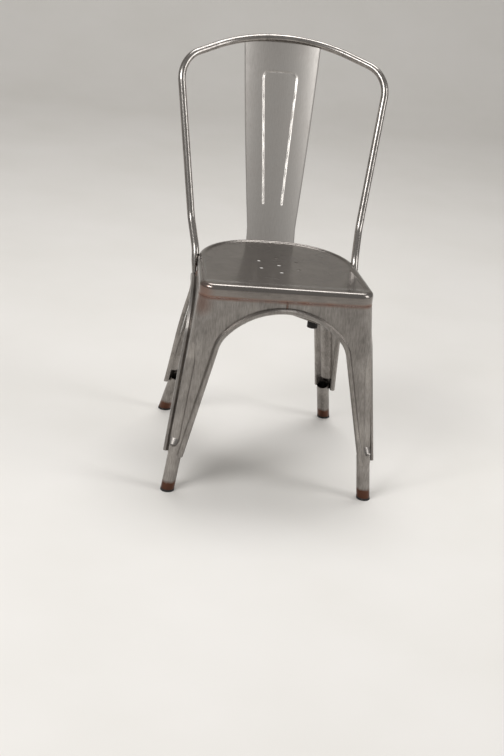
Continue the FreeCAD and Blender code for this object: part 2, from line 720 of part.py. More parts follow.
def back_splat():
    foot, top = size("seat_height") - size("roll_back"), size("hoop_top")
    low, high = size("splat_half_low"), size("splat_half_high")
    waist = size("splat_waist")
    sag = high * high / (2 * size("hoop_crown"))
    bend = Vector(high - (high - low) / 3, 0, (waist + top) / 2)
    right = [
        Part.Arc(Vector(low, 0, waist), bend, Vector(high, 0, top - sag)).toShape(),
        Part.makeLine(Vector(low, 0, foot), Vector(low, 0, waist)),
    ]
    edges = right + [mirror(edge) for edge in right]
    edges.append(Part.makeLine(Vector(low, 0, foot), Vector(-low, 0, foot)))
    crown = Vector(0, 0, top)
    ends = (Vector(-high, 0, top - sag), Vector(high, 0, top - sag))
    edges.append(Part.Arc(ends[0], crown, ends[1]).toShape())
    outline = Part.Face(Part.Wire(Part.__sortEdges__(edges))).extrude(BACKWARD * REACH)
    return splat_band().common(outline).cut([seat_block(), hoop_bar()])


# The document's objects. A piece made with primitives and booleans is bound to the sheet's
# cells, and a pressed or bent one gets the shape worked out above.
def add_shape(name, shape):
    feature = doc.addObject("Part::Feature", name)
    feature.Shape = shape
    return feature


def cylinder(name, radius, height, base, along):
    """A cylinder whose radius and height are expressions on the sheet."""
    piece = doc.addObject("Part::Cylinder", name)
    piece.setExpression("Radius", radius)
    piece.setExpression("Height", height)
    piece.Placement = Placement(base, Rotation(UP, along))
    return piece


def small_round(name, sides, radius, height, base, along):
    """A small round piece, drawn with a number of flats."""
    piece = doc.addObject("Part::Prism", name)
    piece.Polygon = sides
    piece.setExpression("Circumradius", radius)
    piece.setExpression("Height", height)
    piece.Placement = Placement(base, Rotation(UP, along))
    return piece


def box(name, length, width, height, placement):
    """A box whose three sizes are expressions on the sheet."""
    piece = doc.addObject("Part::Box", name)
    piece.setExpression("Length", length)
    piece.setExpression("Width", width)
    piece.setExpression("Height", height)
    piece.Placement = placement
    return piece


def boolean(kind, name, base, tool):
    piece = doc.addObject("Part::" + kind, name)
    piece.Base = base
    piece.Tool = tool
    return piece


def joined(name, pieces):
    fusion = doc.addObject("Part::MultiFuse", name)
    fusion.Shapes = pieces
    return fusion


def mirror_of(name, source):
    """The same piece on the other side of the chair."""
    piece = doc.addObject("Part::Mirroring", name)
    piece.Source = source
    piece.Normal = ACROSS
    piece.Base = MIDDLE
    return piece


GLIDE_SIDES = 24
SMALL_SIDES = 12
STUD_SIDES = 8
BELOW = 10.0  # length by which a foot's parts are drawn below the floor before the cut
WIDE = 300.0  # side of the blocks that cut the feet level


def foot(end, corner):
    """A foot tube and its rubber glide on the right, and their mirror pieces."""
    floor, along = tube_line(corner)
    start = floor - along * BELOW
    ground = Placement(Vector(floor.x - WIDE / 2, floor.y - WIDE / 2, -WIDE), Rotation())
    level = box("under_%s_tube" % end, "%f" % WIDE, "%f" % WIDE,
                "%f + Sizes.glide_height" % WIDE, ground)
    length = "Sizes.foot_tube_length + %f" % BELOW
    outside = cylinder("outside_%s_tube" % end, "Sizes.foot_tube_radius", length, start, along)
    bore = cylinder("bore_%s_tube" % end, "Sizes.foot_tube_radius - Sizes.foot_tube_wall",
                    length, start, along)
    tube = boolean("Cut", "pipe_%s" % end, outside, bore)
    tube = boolean("Cut", "foot_tube_%s_right" % end, tube, level)
    flange = small_round("flange_%s" % end, GLIDE_SIDES, "Sizes.foot_tube_radius + Sizes.glide_rim",
                         "3 * Sizes.glide_plug", start, along)
    slab = box("slab_%s" % end, "%f" % WIDE, "%f" % WIDE, "%f + Sizes.glide_height" % WIDE, ground)
    flange = boolean("Common", "rim_%s" % end, flange, slab)
    plug = small_round("plug_%s" % end, SMALL_SIDES,
                       "Sizes.foot_tube_radius - Sizes.foot_tube_wall - Sizes.plug_clearance",
                       "Sizes.glide_plug + %f" % BELOW, start, along)
    whole = joined("block_%s_glide" % end, [flange, plug])
    under = box("under_%s_glide" % end, "%f" % WIDE, "%f" % WIDE, "%f" % WIDE, ground)
    glide = boolean("Cut", "glide_%s_right" % end, whole, under)
    return [
        tube, mirror_of("foot_tube_%s_left" % end, tube),
        glide, mirror_of("glide_%s_left" % end, glide),
    ]


def brace():
    """Two flat bars that cross under the seat, the rivet that joins them and the pads."""
    height = size("brace_height")
    front = FRONT_CORNER.ridge_at(height)
    rear = mirrored(BACK_CORNER.ridge_at(height))
    crossing = front + (rear - front) * (front.x / (front.x - rear.x))
    along = (rear - front).normalize()
    half_long = (rear - front).Length
    space = add_shape("space_inside_legs", inside())
    thick = "Sizes.brace_thick"
    pieces = []
    hole = small_round("rivet_hole", STUD_SIDES, "Sizes.rivet_radius", "4 * " + thick,
                    crossing - UP * (2 * size("brace_thick")), UP)
    for name, heading, lap_side in (
        ("brace_bar_front_right", along, 1), ("brace_bar_front_left", mirrored(along), -1)
    ):
        turn = Rotation(ACROSS, heading)
        corner = Vector(-half_long, -size("brace_wide") / 2, -size("brace_thick") / 2)
        bar = box("block_" + name, "%f" % (2 * half_long), "Sizes.brace_wide", thick,
                  Placement(crossing + turn.multVec(corner), turn))
        other = Rotation(ACROSS, mirrored(heading))
        drop = 0 if lap_side > 0 else -size("brace_thick") / 2
        lap_corner = Vector(-half_long / 4, -size("brace_wide") / 2, drop)
        lap = box("lap_" + name, "%f" % (half_long / 2), "Sizes.brace_wide", thick + " / 2",
                  Placement(crossing + other.multVec(lap_corner), other))
        bar = boolean("Cut", "lapped_" + name, bar, lap)
        studs = []
        for way, end in ((-1, "front"), (1, "rear")):
            spot = crossing + heading * (way * size("pad_reach"))
            side = "right" if spot.x > 0 else "left"
            studs.append(small_round(
                "hole_%s_%s" % (end, side), STUD_SIDES, "Sizes.pad_stud", "4 * " + thick,
                spot - UP * (2 * size("brace_thick")), UP
            ))
            pieces.append(pad("stacking_pad_%s_%s" % (end, side), spot))
        bar = boolean("Cut", "holed_" + name, bar, joined("holes_" + name, studs + [hole]))
        pieces.append(boolean("Common", name, bar, space))
    under = crossing - UP * (size("brace_thick") / 2 + size("rivet_head_height"))
    over = crossing + UP * (size("brace_thick") / 2)
    pieces.append(joined("brace_rivet", [
        small_round("rivet_shank", STUD_SIDES, "Sizes.rivet_radius",
                    "Sizes.brace_thick + Sizes.rivet_head_height", under, UP),
        small_round("rivet_lower_head", SMALL_SIDES, "Sizes.rivet_head",
                    "Sizes.rivet_head_height", under, UP),
        small_round("rivet_upper_head", SMALL_SIDES, "Sizes.rivet_head",
                    "Sizes.rivet_head_height", over, UP),
    ]))
    return pieces


def pad(name, spot):
    """A rubber stacking pad with the stud and button that hold it in its bar."""
    foot_spot = Vector(spot.x, spot.y, size("pad_foot"))
    over = spot + UP * (size("brace_thick") / 2)
    tall = "Sizes.brace_height - Sizes.brace_thick / 2 - Sizes.pad_foot"
    return joined(name, [
        small_round("disc_" + name, GLIDE_SIDES, "Sizes.pad_radius", tall, foot_spot, UP),
        small_round("stud_" + name, STUD_SIDES, "Sizes.pad_stud",
                    tall + " + Sizes.brace_thick", foot_spot, UP),
        small_round("button_" + name, SMALL_SIDES, "Sizes.pad_button",
                    "Sizes.rivet_head_height", over, UP),
    ])


def apron_welds():
    """The welds that join the legs over the middle of each arch, outside the sheet."""
    block = skin(0)
    pieces = []
    length, radius = size("weld_length"), size("weld_radius")
    for name, face, spot in (
        ("weld_front", FRONT_FACE, (ACROSS, 0)), ("weld_rear", REAR_FACE, (ACROSS, 0)),
        ("weld_right", SIDE_FACE, (BACKWARD, SIDE_MIDDLE)),
    ):
        base = face.placement(0).multVec(face.at(spot[0], spot[1], SEAM - length))
        bead = Part.makeCylinder(radius, length - 1, base, face.rise)
        pieces.append(add_shape(name, bead.cut(block)))
    pieces.append(mirror_of("weld_left", pieces[-1]))
    return pieces


sub_parts = [
    add_shape("seat_pan", seat_pan()),
    add_shape("back_hoop", back_hoop()),
    add_shape("back_splat", back_splat()),
]
front_leg, rear_leg = right_legs()
for name, shape in (("leg_front", front_leg), ("leg_rear", rear_leg)):
    right_leg = add_shape(name + "_right", shape)
    sub_parts += [right_leg, mirror_of(name + "_left", right_leg)]
sub_parts += foot("front", FRONT_CORNER) + foot("rear", BACK_CORNER)
sub_parts += brace() + apron_welds()
doc.recompute()

# The chair's origin is on the floor, at the middle of its width and of its depth.
bounds = FreeCAD.BoundBox()
for part in sub_parts:
    bounds.add(part.Shape.optimalBoundingBox(False, False))
for part in sub_parts:
    part.Label = part.Name
    if part.TypeId != "Part::Mirroring":  # a mirror piece follows the piece it mirrors
        base = part.Placement.Base - BACKWARD * bounds.Center.y
        part.Placement = Placement(base, part.Placement.Rotation)
doc.recompute()

for thing in doc.Objects:
    if "Invalid" in thing.State or "Error" in thing.State:
        raise RuntimeError("%s failed: %s" % (thing.Name, thing.State))
for part in sub_parts:
    if part.Shape.isNull() or not part.Shape.isValid() or len(part.Shape.Solids) != 1:
        raise RuntimeError("%s isn't one valid solid" % part.Label)

os.makedirs("parts", exist_ok=True)
for part in sub_parts:
    part.Shape.exportStep("parts/%s.step" % part.Label)
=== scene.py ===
"""Bistro chair in clear-lacquered steel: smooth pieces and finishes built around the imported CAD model."""

import json
import math

import bmesh
import bpy
from bpy.props import FloatProperty, FloatVectorProperty, PointerProperty
from mathutils import Matrix, Vector

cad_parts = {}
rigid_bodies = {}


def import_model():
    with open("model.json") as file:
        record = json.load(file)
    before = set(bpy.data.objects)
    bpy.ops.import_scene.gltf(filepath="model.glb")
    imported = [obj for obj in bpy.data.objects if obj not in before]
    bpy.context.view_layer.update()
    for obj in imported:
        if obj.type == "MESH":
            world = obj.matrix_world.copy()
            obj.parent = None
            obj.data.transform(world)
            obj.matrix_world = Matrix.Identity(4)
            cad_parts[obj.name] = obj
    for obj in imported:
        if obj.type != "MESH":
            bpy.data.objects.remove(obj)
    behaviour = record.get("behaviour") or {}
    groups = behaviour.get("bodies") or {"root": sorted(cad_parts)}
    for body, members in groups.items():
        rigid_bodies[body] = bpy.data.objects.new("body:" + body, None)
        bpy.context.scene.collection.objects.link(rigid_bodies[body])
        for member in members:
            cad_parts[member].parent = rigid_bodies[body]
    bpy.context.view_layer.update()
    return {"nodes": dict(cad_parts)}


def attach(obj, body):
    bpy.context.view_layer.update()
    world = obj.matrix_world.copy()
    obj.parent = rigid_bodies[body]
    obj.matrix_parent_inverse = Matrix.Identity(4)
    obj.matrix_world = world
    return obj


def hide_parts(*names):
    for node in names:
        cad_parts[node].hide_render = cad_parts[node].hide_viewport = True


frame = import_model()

bl_info = {
    "name": "Steel Bistro Chair",
    "version": (1, 0, 0),
    "blender": (4, 5, 0),
    "location": "3D View > Sidebar > Chair",
    "description": "Builds the pressed-steel bistro chair around its CAD frame",
    "category": "Add Mesh",
}

MM = 0.001
BODY = "root"
ACROSS = Vector((1, 0, 0))
SHARP_EDGE = math.radians(35)

# The seat's plan, as in the CAD: two front corners and two wide rear ones, joined by tapering sides.
FRONT_CORNER = 30 * MM
REAR_CORNER = 150 * MM
FRONT_CORNER_X = 148.125 * MM
REAR_CORNER_X = 18.62 * MM
SIDE_TAPER = math.radians(3.72)
CREST_INSET = 10.6  # where the recess begins to fall, millimetres from the edge
FRONT_CREST = 198.4  # where it begins to fall at the front, millimetres ahead of the middle
FRONT_FALL = 18
HOLES_MIDDLE = -60.9

# The splat's lean, its face's place at the seat's height, and the groove's outline, in millimetres.
SPLAT_LEAN = math.radians(20.3)
SPLAT_LOW, SPLAT_HIGH = 446.8, 851.4
SPLAT_FOOT_Y, SPLAT_FOOT_Z = 96.6, 447
SPLAT_STRAIGHT, SPLAT_FOOT_HALF, SPLAT_TOP_HALF = 475, 53, 84
GROOVE_TOP, GROOVE_WIDE = 790.0, 37.0
GROOVE_LOW, GROOVE_NARROW = 522.0, 20.0
GROOVE_BEND = 12.0

# Half of the hoop's line as bent from the crown to an end, with the radius of each bend, in millimetres.
HOOP_POINTS = (
    (80, 248.9, 858.8),
    (225.3, 161.0, 815.5),
    (182.0, 47.6, 502),
    (171, -5.9, 446),
    (172.8, -22.9, 396),
)
HOOP_BENDS = (261, 66, 70, 70)
HOOP_PRESSED = 42  # length of each pressed end

# Heat tints by the front left corner's weld: place and reach, in millimetres.
LEG_HEAT = (((-176, -214, 405), 34),)
SEAT_HEAT = (((-172, -212, 430), 30),)

# The camera that was fitted to the photograph's view, in radians, millimetres and pixels.
CAMERA_PLACE = (-516.0, -3114.8, 1460.6)
CAMERA_YAW, CAMERA_PITCH, CAMERA_ROLL = -0.1581, 0.3911, 0.1166
FOCAL_PIXELS, FRAME_HEIGHT, SENSOR = 1553.7, 756, 36

SOFTBOXES = (
    # name, place, aim, size in metres, watts
    ("key_softbox", (-2.2, -2.0, 2.6), (0, 0, 0.45), (1.6, 1.2), 62),
    ("fill_softbox", (2.6, -1.2, 1.7), (0, 0, 0.5), (1.0, 1.8), 26),
    ("top_softbox", (0.3, 0.9, 3.0), (0, 0, 0.5), (2.0, 1.2), 42),
)


def srgb(code):
    """A hex sRGB colour as linear red, green, blue and alpha."""
    channels = [int(code[i : i + 2], 16) / 255 for i in (1, 3, 5)]
    return (*(c / 12.92 if c <= 0.04045 else ((c + 0.055) / 1.055) ** 2.4 for c in channels), 1.0)


def colour(label, description, code):
    """A colour that the user can change, shown as a swatch."""
    return FloatVectorProperty(
        name=label, description=description, default=srgb(code), size=4, min=0, max=1, subtype="COLOR"
    )


def length(label, description, millimetres):
    """A size that the user can change, kept in metres."""
    return FloatProperty(
        name=label, description=description, default=millimetres * MM, min=0, unit="LENGTH", precision=4
    )


class ChairSizes(bpy.types.PropertyGroup):
    """Sizes of the pieces that are made here, as the CAD has them."""

    seat_front: length("Seat front", "Front line of the seat, from the middle of the chair", 220.4)
    seat_rear: length("Seat rear", "Rear line of the seat, from the middle of the chair", 104.3)
    seat_top: length("Seat height", "Top of the seat's crest above the floor", 447)
    seat_skirt: length("Seat skirt", "How far the seat's edge turns down", 27)
    seat_roll: length("Seat roll", "Radius of the bend round the seat's edge", 10)
    recess: length("Recess", "Depth of the pressed sitting face", 3)
    hole: length("Drain hole", "Diameter of each drain hole", 8.5)
    hole_circle: length("Hole circle", "Radius of the circle of drain holes", 46)
    pan_sheet: length("Seat sheet", "Thickness of the seat's sheet", 1.2)
    splat_sheet: length("Splat sheet", "Thickness of the splat's sheet", 1.5)
    tube: length("Hoop tube", "Radius of the hoop's tube", 8)
    hollow: length("Splat hollow", "Radius of the splat's bend across the back", 290)
    groove_width: length("Groove width", "Width of the groove pressed in the splat", 4)
    groove_depth: length("Groove depth", "Depth of the groove pressed in the splat", 1.3)


class ChairColours(bpy.types.PropertyGroup):
    """Colours of the finishes."""

    steel: colour("Steel", "Bare steel under clear lacquer", "#aaa5a0")
    steel_dark: colour("Steel shade", "Darker streaks of the rolled sheet", "#77726e")
    seat: colour("Seat steel", "The seat's darker, glossier sheet", "#8c8681")
    splat: colour("Splat steel", "The splat's lighter satin sheet", "#c4c0bb")
    heat: colour("Heat tint", "Copper-brown tint that welding leaves", "#7d5646")
    rust: colour("Rust", "Brown rust on the foot tips", "#5a3a2c")
    rubber: colour("Rubber", "Black rubber of the glides and pads", "#1b1a19")
    floor: colour("Floor", "Pale studio floor and backdrop", "#e6e3df")


def sizes():
    return bpy.context.scene.chair_sizes


def colours():
    return bpy.context.scene.chair_colours


# ---------------------------------------------------------------- materials


def node(tree, kind, links=None, **settings):
    """Adds a node, sets its fields and sockets, and links what feeds its inputs."""
    made = tree.nodes.new(kind)
    for name, value in settings.items():
        if name == "inputs":
            for socket, number in value.items():
                made.inputs[socket].default_value = number
        else:
            setattr(made, name, value)
    for socket, source in (links or {}).items():
        tree.links.new(source, made.inputs[socket])
    return made


def new_material(name):
    material = bpy.data.materials.get(name) or bpy.data.materials.new(name)
    material.use_nodes = True
    material.node_tree.nodes.clear()
    return material, material.node_tree


def ramp(tree, source, stops):
    """A colour ramp from (position, colour) stops."""
    made = node(tree, "ShaderNodeValToRGB", {"Fac": source})
    elements = made.color_ramp.elements
    while len(elements) < len(stops):
        elements.new(0.5)
    for element, (position, shade) in zip(elements, stops):
        element.position = position
        element.color = shade
    return made.outputs["Color"]


def grey(level):
    return (level, level, level, 1.0)


def mixed(tree, factor, low, high):
    """Low where the factor is 0 and high where it is 1; each is a colour or a socket."""
    made = node(tree, "ShaderNodeMix", {"Factor": factor}, data_type="RGBA")
    for socket, value in ((6, low), (7, high)):
        if isinstance(value, bpy.types.NodeSocket):
            tree.links.new(value, made.inputs[socket])
        else:
            made.inputs[socket].default_value = value
    return made.outputs[2]


def band(tree, height, start, end):
    """0 at and below the height start, 1 at and above end."""
    return node(
        tree,
        "ShaderNodeMapRange",
        {"Value": height},
        inputs={"From Min": start * MM, "From Max": end * MM},
    ).outputs["Result"]


def maths(tree, operation, first, second):
    made = node(tree, "ShaderNodeMath", operation=operation)
    for socket, value in ((0, first), (1, second)):
        if isinstance(value, bpy.types.NodeSocket):
            tree.links.new(value, made.inputs[socket])
        else:
            made.inputs[socket].default_value = value
    return made.outputs["Value"]


def spot(tree, place, centre, radius):
    """1 at a point of the object, fading to 0 at the radius, all in millimetres."""
    away = node(
        tree, "ShaderNodeVectorMath", {0: place}, operation="DISTANCE", inputs={1: [c * MM for c in centre]}
    ).outputs["Value"]
    return node(
        tree,
        "ShaderNodeMapRange",
        {"Value": away},
        interpolation_type="SMOOTHSTEP",
        inputs={"From Min": radius * MM, "From Max": radius * 0.15 * MM},
    ).outputs["Result"]


def lacquered_steel(name, shade, dark, roughness, streak=(1, 1, 12), seam=False, feet=False, heat=()):
    """Cold-rolled mild steel sheet under clear lacquer: a grey metal with long faint rolling streaks,
    a few cloudy darker patches, and the copper-brown tint that spot welding leaves by a seam."""
    material, tree = new_material(name)
    place = node(tree, "ShaderNodeTexCoord").outputs["Object"]
    split = node(tree, "ShaderNodeSeparateXYZ", {"Vector": place})
    height = split.outputs["Z"]
    # Rolling streaks are 0.1 mm wide in the real sheet; drawn 2 mm wide so that they show.
    stretched = node(
        tree, "ShaderNodeMapping", {"Vector": place}, inputs={"Scale": [1 / s for s in streak]}
    ).outputs["Vector"]
    streaks = node(
        tree,
        "ShaderNodeTexNoise",
        {"Vector": stretched},
        inputs={"Scale": 1 / (2 * MM), "Detail": 4, "Roughness": 0.6},
    ).outputs["Fac"]
    # Clouds in the lacquer and mill scale, 60 mm across.
    clouds = node(
        tree,
        "ShaderNodeTexNoise",
        {"Vector": place},
        inputs={"Scale": 1 / (60 * MM), "Detail": 6, "Roughness": 0.62},
    ).outputs["Fac"]
    fine = ramp(tree, streaks, [(0.34, grey(0)), (0.66, grey(1))])
    cloudy = ramp(tree, clouds, [(0.38, grey(0)), (0.68, grey(1))])
    both = maths(tree, "MULTIPLY_ADD", fine, 0.45)
    tree.links.new(maths(tree, "MULTIPLY", cloudy, 0.55), both.node.inputs[2])
    body = mixed(tree, both, dark, shade)
    tints = [maths(tree, "MULTIPLY", spot(tree, place, centre, radius), 0.75) for centre, radius in heat]
    if seam:
        low, high = band(tree, height, 414, 419), band(tree, height, 426, 421)
        line = maths(tree, "MULTIPLY", low, high)
        tints.append(maths(tree, "MULTIPLY", line, maths(tree, "MULTIPLY_ADD", cloudy, 0.6)))
    for tint in tints:
        patchy = maths(tree, "MULTIPLY", tint, maths(tree, "ADD", clouds, 0.2))
        body = mixed(tree, patchy, body, colours().heat)
    if feet:
        ragged = maths(tree, "MULTIPLY_ADD", clouds, 0.02)
        tree.links.new(height, ragged.node.inputs[2])
        rusty = node(
            tree, "ShaderNodeMapRange", {"Value": ragged}, inputs={"From Min": 0.036, "From Max": 0.029}
        ).outputs["Result"]
        body = mixed(tree, rusty, body, colours().rust)
    uneven = node(
        tree,
        "ShaderNodeMapRange",
        {"Value": both},
        inputs={"To Min": roughness + 0.1, "To Max": roughness - 0.05},
    ).outputs["Result"]
    relief = node(
        tree, "ShaderNodeBump", {"Height": streaks}, inputs={"Strength": 0.12, "Distance": 0.1 * MM}
    ).outputs["Normal"]
    waves = node(
        tree,
        "ShaderNodeBump",
        {"Height": clouds, "Normal": relief},
        inputs={"Strength": 0.25, "Distance": 1.0 * MM},
    ).outputs["Normal"]
    shader = node(
        tree,
        "ShaderNodeBsdfPrincipled",
        {"Base Color": body, "Roughness": uneven, "Normal": waves},
        inputs={"Metallic": 1.0, "Coat Weight": 0.25, "Coat Roughness": 0.12},
    )
    node(tree, "ShaderNodeOutputMaterial", {"Surface": shader.outputs["BSDF"]})
    return material


def moulded_rubber(name):
    """Moulded black rubber: a matt, slightly dusty surface with a fine pebble from the mould."""
    material, tree = new_material(name)
    place = node(tree, "ShaderNodeTexCoord").outputs["Object"]
    pebble = node(
        tree, "ShaderNodeTexNoise", {"Vector": place}, inputs={"Scale": 1 / (1.5 * MM), "Detail": 3}
    ).outputs["Fac"]
    dust = node(
        tree, "ShaderNodeTexNoise", {"Vector": place}, inputs={"Scale": 1 / (12 * MM), "Detail": 4}
    ).outputs["Fac"]
    dusty = ramp(tree, dust, [(0.5, grey(0)), (0.8, grey(0.5))])
    body = mixed(tree, dusty, colours().rubber, srgb("#4a4642"))
    relief = node(tree, "ShaderNodeBump", {"Height": pebble}, inputs={"Strength": 0.3, "Distance": 0.2 * MM})
    shader = node(
        tree,
        "ShaderNodeBsdfPrincipled",
        {"Base Color": body, "Normal": relief.outputs["Normal"]},
        inputs={"Roughness": 0.72, "Metallic": 0.0},
    )
    node(tree, "ShaderNodeOutputMaterial", {"Surface": shader.outputs["BSDF"]})
    return material


def finish_of(which):
    """The chair's finishes by name, made once."""
    if which in bpy.data.materials:
        return bpy.data.materials[which]
    c = colours()
    made = {
        "lacquered_steel_legs": lambda: lacquered_steel(
            which, c.steel, c.steel_dark, 0.3, (1, 1, 14), seam=True, heat=LEG_HEAT
        ),
        "lacquered_steel_feet": lambda: lacquered_steel(which, c.steel, c.steel_dark, 0.34, (1, 1, 10), feet=True),
        "lacquered_steel_seat": lambda: lacquered_steel(
            which, c.seat, c.steel_dark, 0.2, (14, 1, 1), seam=True, heat=SEAT_HEAT
        ),
        "lacquered_steel_tube": lambda: lacquered_steel(which, c.steel, c.steel_dark, 0.22, (6, 6, 6)),
        "satin_steel_splat": lambda: lacquered_steel(which, c.splat, c.steel, 0.36, (1, 3, 16)),
        "weld_bead_steel": lambda: lacquered_steel(which, c.heat, c.steel_dark, 0.4, (1, 1, 1)),
        "moulded_rubber_black": lambda: moulded_rubber(which),
    }
    return made[which]()


def dress(obj, which):
    """Gives every material slot of the object one finish."""
    finish = finish_of(which)
    if not obj.material_slots:
        obj.data.materials.append(finish)
    for holder in obj.material_slots:
        holder.link = "OBJECT"
        holder.material = finish


def dress_nodes(prefix, which):
    """Gives a finish to every CAD node whose name starts so."""
    for name, obj in frame["nodes"].items():
        if name.startswith(prefix):
            dress(obj, which)


# ------------------------------------------------------------------- meshes


def piece(name, mesh, which, material_slot, *stands_for):
    """Puts a finished bmesh in the scene as a piece that rides on the chair."""
    for old in [o for o in bpy.data.objects if o.name == name]:
        bpy.data.objects.remove(old)
    data = bpy.data.meshes.new(name)
    mesh.to_mesh(data)
    mesh.free()
    for face in data.polygons:
        face.use_smooth = True
    obj = bpy.data.objects.new(name, data)
    bpy.context.scene.collection.objects.link(obj)
    data.materials.append(finish_of(which))
    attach(obj, BODY)
    if stands_for:
        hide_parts(*stands_for)
    return obj


def apply_modifiers(obj):
    """Turns the object's modifiers into mesh."""
    shaped = bpy.data.meshes.new_from_object(obj.evaluated_get(bpy.context.evaluated_depsgraph_get()))
    obj.modifiers.clear()
    shaped.set_sharp_from_angle(angle=SHARP_EDGE)
    obj.data = shaped


def thicken(obj, thickness, outside):
    """Gives a surface its sheet's thickness, inwards from the face that is seen."""
    thick = obj.modifiers.new("sheet", "SOLIDIFY")
    thick.thickness = thickness
    thick.offset = -1 if outside else 1
    apply_modifiers(obj)


def grid_faces(mesh, rows, closed=False):
    """Quads between neighbouring rows of vertices."""
    for first, second in zip(rows, rows[1:]):
        count = len(first)
        for i in range(count if closed else count - 1):
            j = (i + 1) % count
            mesh.faces.new((first[i], first[j], second[j], second[i]))


def rounded_path(corners, radii, step):
    """Points along straight runs whose corners are bent to the given radii."""
    points = [corners[0]]
    for before, corner, after, radius in zip(corners, corners[1:], corners[2:], radii):
        into, out = (corner - before).normalized(), (after - corner).normalized()
        turn = into.angle(out)
        if turn < 1e-4:
            continue
        start = corner - into * radius * math.tan(turn / 2)
        side = (out - into * out.dot(into)).normalized()
        centre = start + side * radius
        count = max(4, int(radius * turn / step))
        for i in range(count + 1):
            a = turn * i / count
            points.append(centre + (into * math.sin(a) - side * math.cos(a)) * radius)
    points.append(corners[-1])
    return points


def evenly(points, step):
    """The same line with points no further apart than the step."""
    out = [points[0]]
    for a, b in zip(points, points[1:]):
        count = max(1, int((b - a).length / step))
        out += [a.lerp(b, i / count) for i in range(1, count + 1)]
    return out


def swept(points, radius, sides, flatten):
    """A closed tube swept along points. flatten gives its width and thickness, as shares of the radius,
    at a distance from the nearer end."""
    mesh = bmesh.new()
    travelled = [0.0]
    for a, b in zip(points, points[1:]):
        travelled.append(travelled[-1] + (b - a).length)
    rows = []
    side = None
    for i, centre in enumerate(points):
        along = (points[min(i + 1, len(points) - 1)] - points[max(i - 1, 0)]).normalized()
        guess = ACROSS if side is None else side
        side = (guess - along * guess.dot(along)).normalized()
        up = along.cross(side)
        end = min(travelled[i], travelled[-1] - travelled[i])
        wide, thick = flatten(end)
        rows.append(
            [
                mesh.verts.new(
                    centre
                    + side * math.cos(2 * math.pi * k / sides) * radius * thick
                    + up * math.sin(2 * math.pi * k / sides) * radius * wide
                )
                for k in range(sides)
            ]
        )
    grid_faces(mesh, rows, closed=True)
    mesh.faces.new(rows[0][::-1])
    mesh.faces.new(rows[-1])
    bmesh.ops.recalc_face_normals(mesh, faces=mesh.faces)
    return mesh


# ------------------------------------------------------------------- pieces


def seat_outline(inset):
    """The seat's edge line pulled in by an inset, in metres, as evenly spread points."""
    s = sizes()
    front, rear = -s.seat_front, s.seat_rear
    front_centre = Vector((FRONT_CORNER_X, front + FRONT_CORNER))
    rear_centre = Vector((REAR_CORNER_X, rear - REAR_CORNER))
    half = [Vector((FRONT_CORNER_X * i / 24, front + inset)) for i in range(24)]
    for centre, radius, start, end, count in (
        (front_centre, FRONT_CORNER - inset, -math.pi / 2, SIDE_TAPER, 16),
        (rear_centre, REAR_CORNER - inset, SIDE_TAPER, math.pi / 2, 36),
    ):
        for i in range(count + 1):
            a = start + (end - start) * i / count
            half.append(centre + Vector((math.cos(a), math.sin(a))) * radius)
        if centre is front_centre:
            first = half[-1]
            outward = Vector((math.cos(SIDE_TAPER), math.sin(SIDE_TAPER)))
            last = rear_centre + outward * (REAR_CORNER - inset)
            half += [first.lerp(last, i / 24) for i in range(1, 24)]
    half.append(Vector((0, rear - inset)))
    return half + [Vector((-p.x, p.y)) for p in half[-2:0:-1]]


def smooth_step(value):
    value = min(1.0, max(0.0, value))
    return value * value * (3 - 2 * value)


def build_seat():
    """The seat: one pressed sheet with a rolled edge, a skirt, a sunk sitting face and drain holes."""
    s = sizes()
    top, roll = s.seat_top, s.seat_roll
    mesh = bmesh.new()

    def sunk(y, inset):
        side = smooth_step((inset - CREST_INSET * MM) / (5 * MM))
        fore = smooth_step((y + FRONT_CREST * MM) / (FRONT_FALL * MM))
        return top - s.recess * side * fore

    def ring(points, height):
        """A row of vertices over the points, at the height that each has by its place from front to back."""
        return [mesh.verts.new((p.x, p.y, height(p.y))) for p in points]

    skirt_edge, skirt_top = top - s.seat_skirt + 0.5 * MM, top - roll - 6 * MM
    rows = [ring(seat_outline(0), lambda y: skirt_edge), ring(seat_outline(0), lambda y: skirt_top)]
    for i in range(9):
        a = math.pi / 2 * i / 8
        inset, rolled = roll * (1 - math.cos(a)), top - roll + roll * math.sin(a)
        rows.append(ring(seat_outline(inset), lambda y: rolled))
    for millimetres in (10.8, 11.6, 12.6, 13.6, 14.6, 15.8, 18, 20, 22, 24, 26, 28):
        inset = millimetres * MM
        rows.append(ring(seat_outline(inset), lambda y: sunk(y, inset)))
    # From here in, the rings shrink towards the middle, and only the front ramp still falls.
    middle = Vector((0, -58 * MM))
    for share in (0.985, 0.97, 0.955, 0.94, 0.925, 0.91, 0.88, 0.8, 0.65, 0.5, 0.35, 0.18):
        shrunk = [middle.lerp(p, share) for p in seat_outline(28 * MM)]
        rows.append(ring(shrunk, lambda y: sunk(y, 40 * MM)))
    grid_faces(mesh, rows, closed=True)
    hub = mesh.verts.new((middle.x, middle.y, top - s.recess))
    for a, b in zip(rows[-1], rows[-1][1:] + rows[-1][:1]):
        mesh.faces.new((a, b, hub))
    bmesh.ops.recalc_face_normals(mesh, faces=mesh.faces)
    seat = piece("pressed_seat", mesh, "lacquered_steel_seat", "seat_steel", "seat_pan")
    thicken(seat, s.pan_sheet, seat.data.polygons[-1].normal.z > 0)
    cut_drain_holes(seat, top)
    return seat


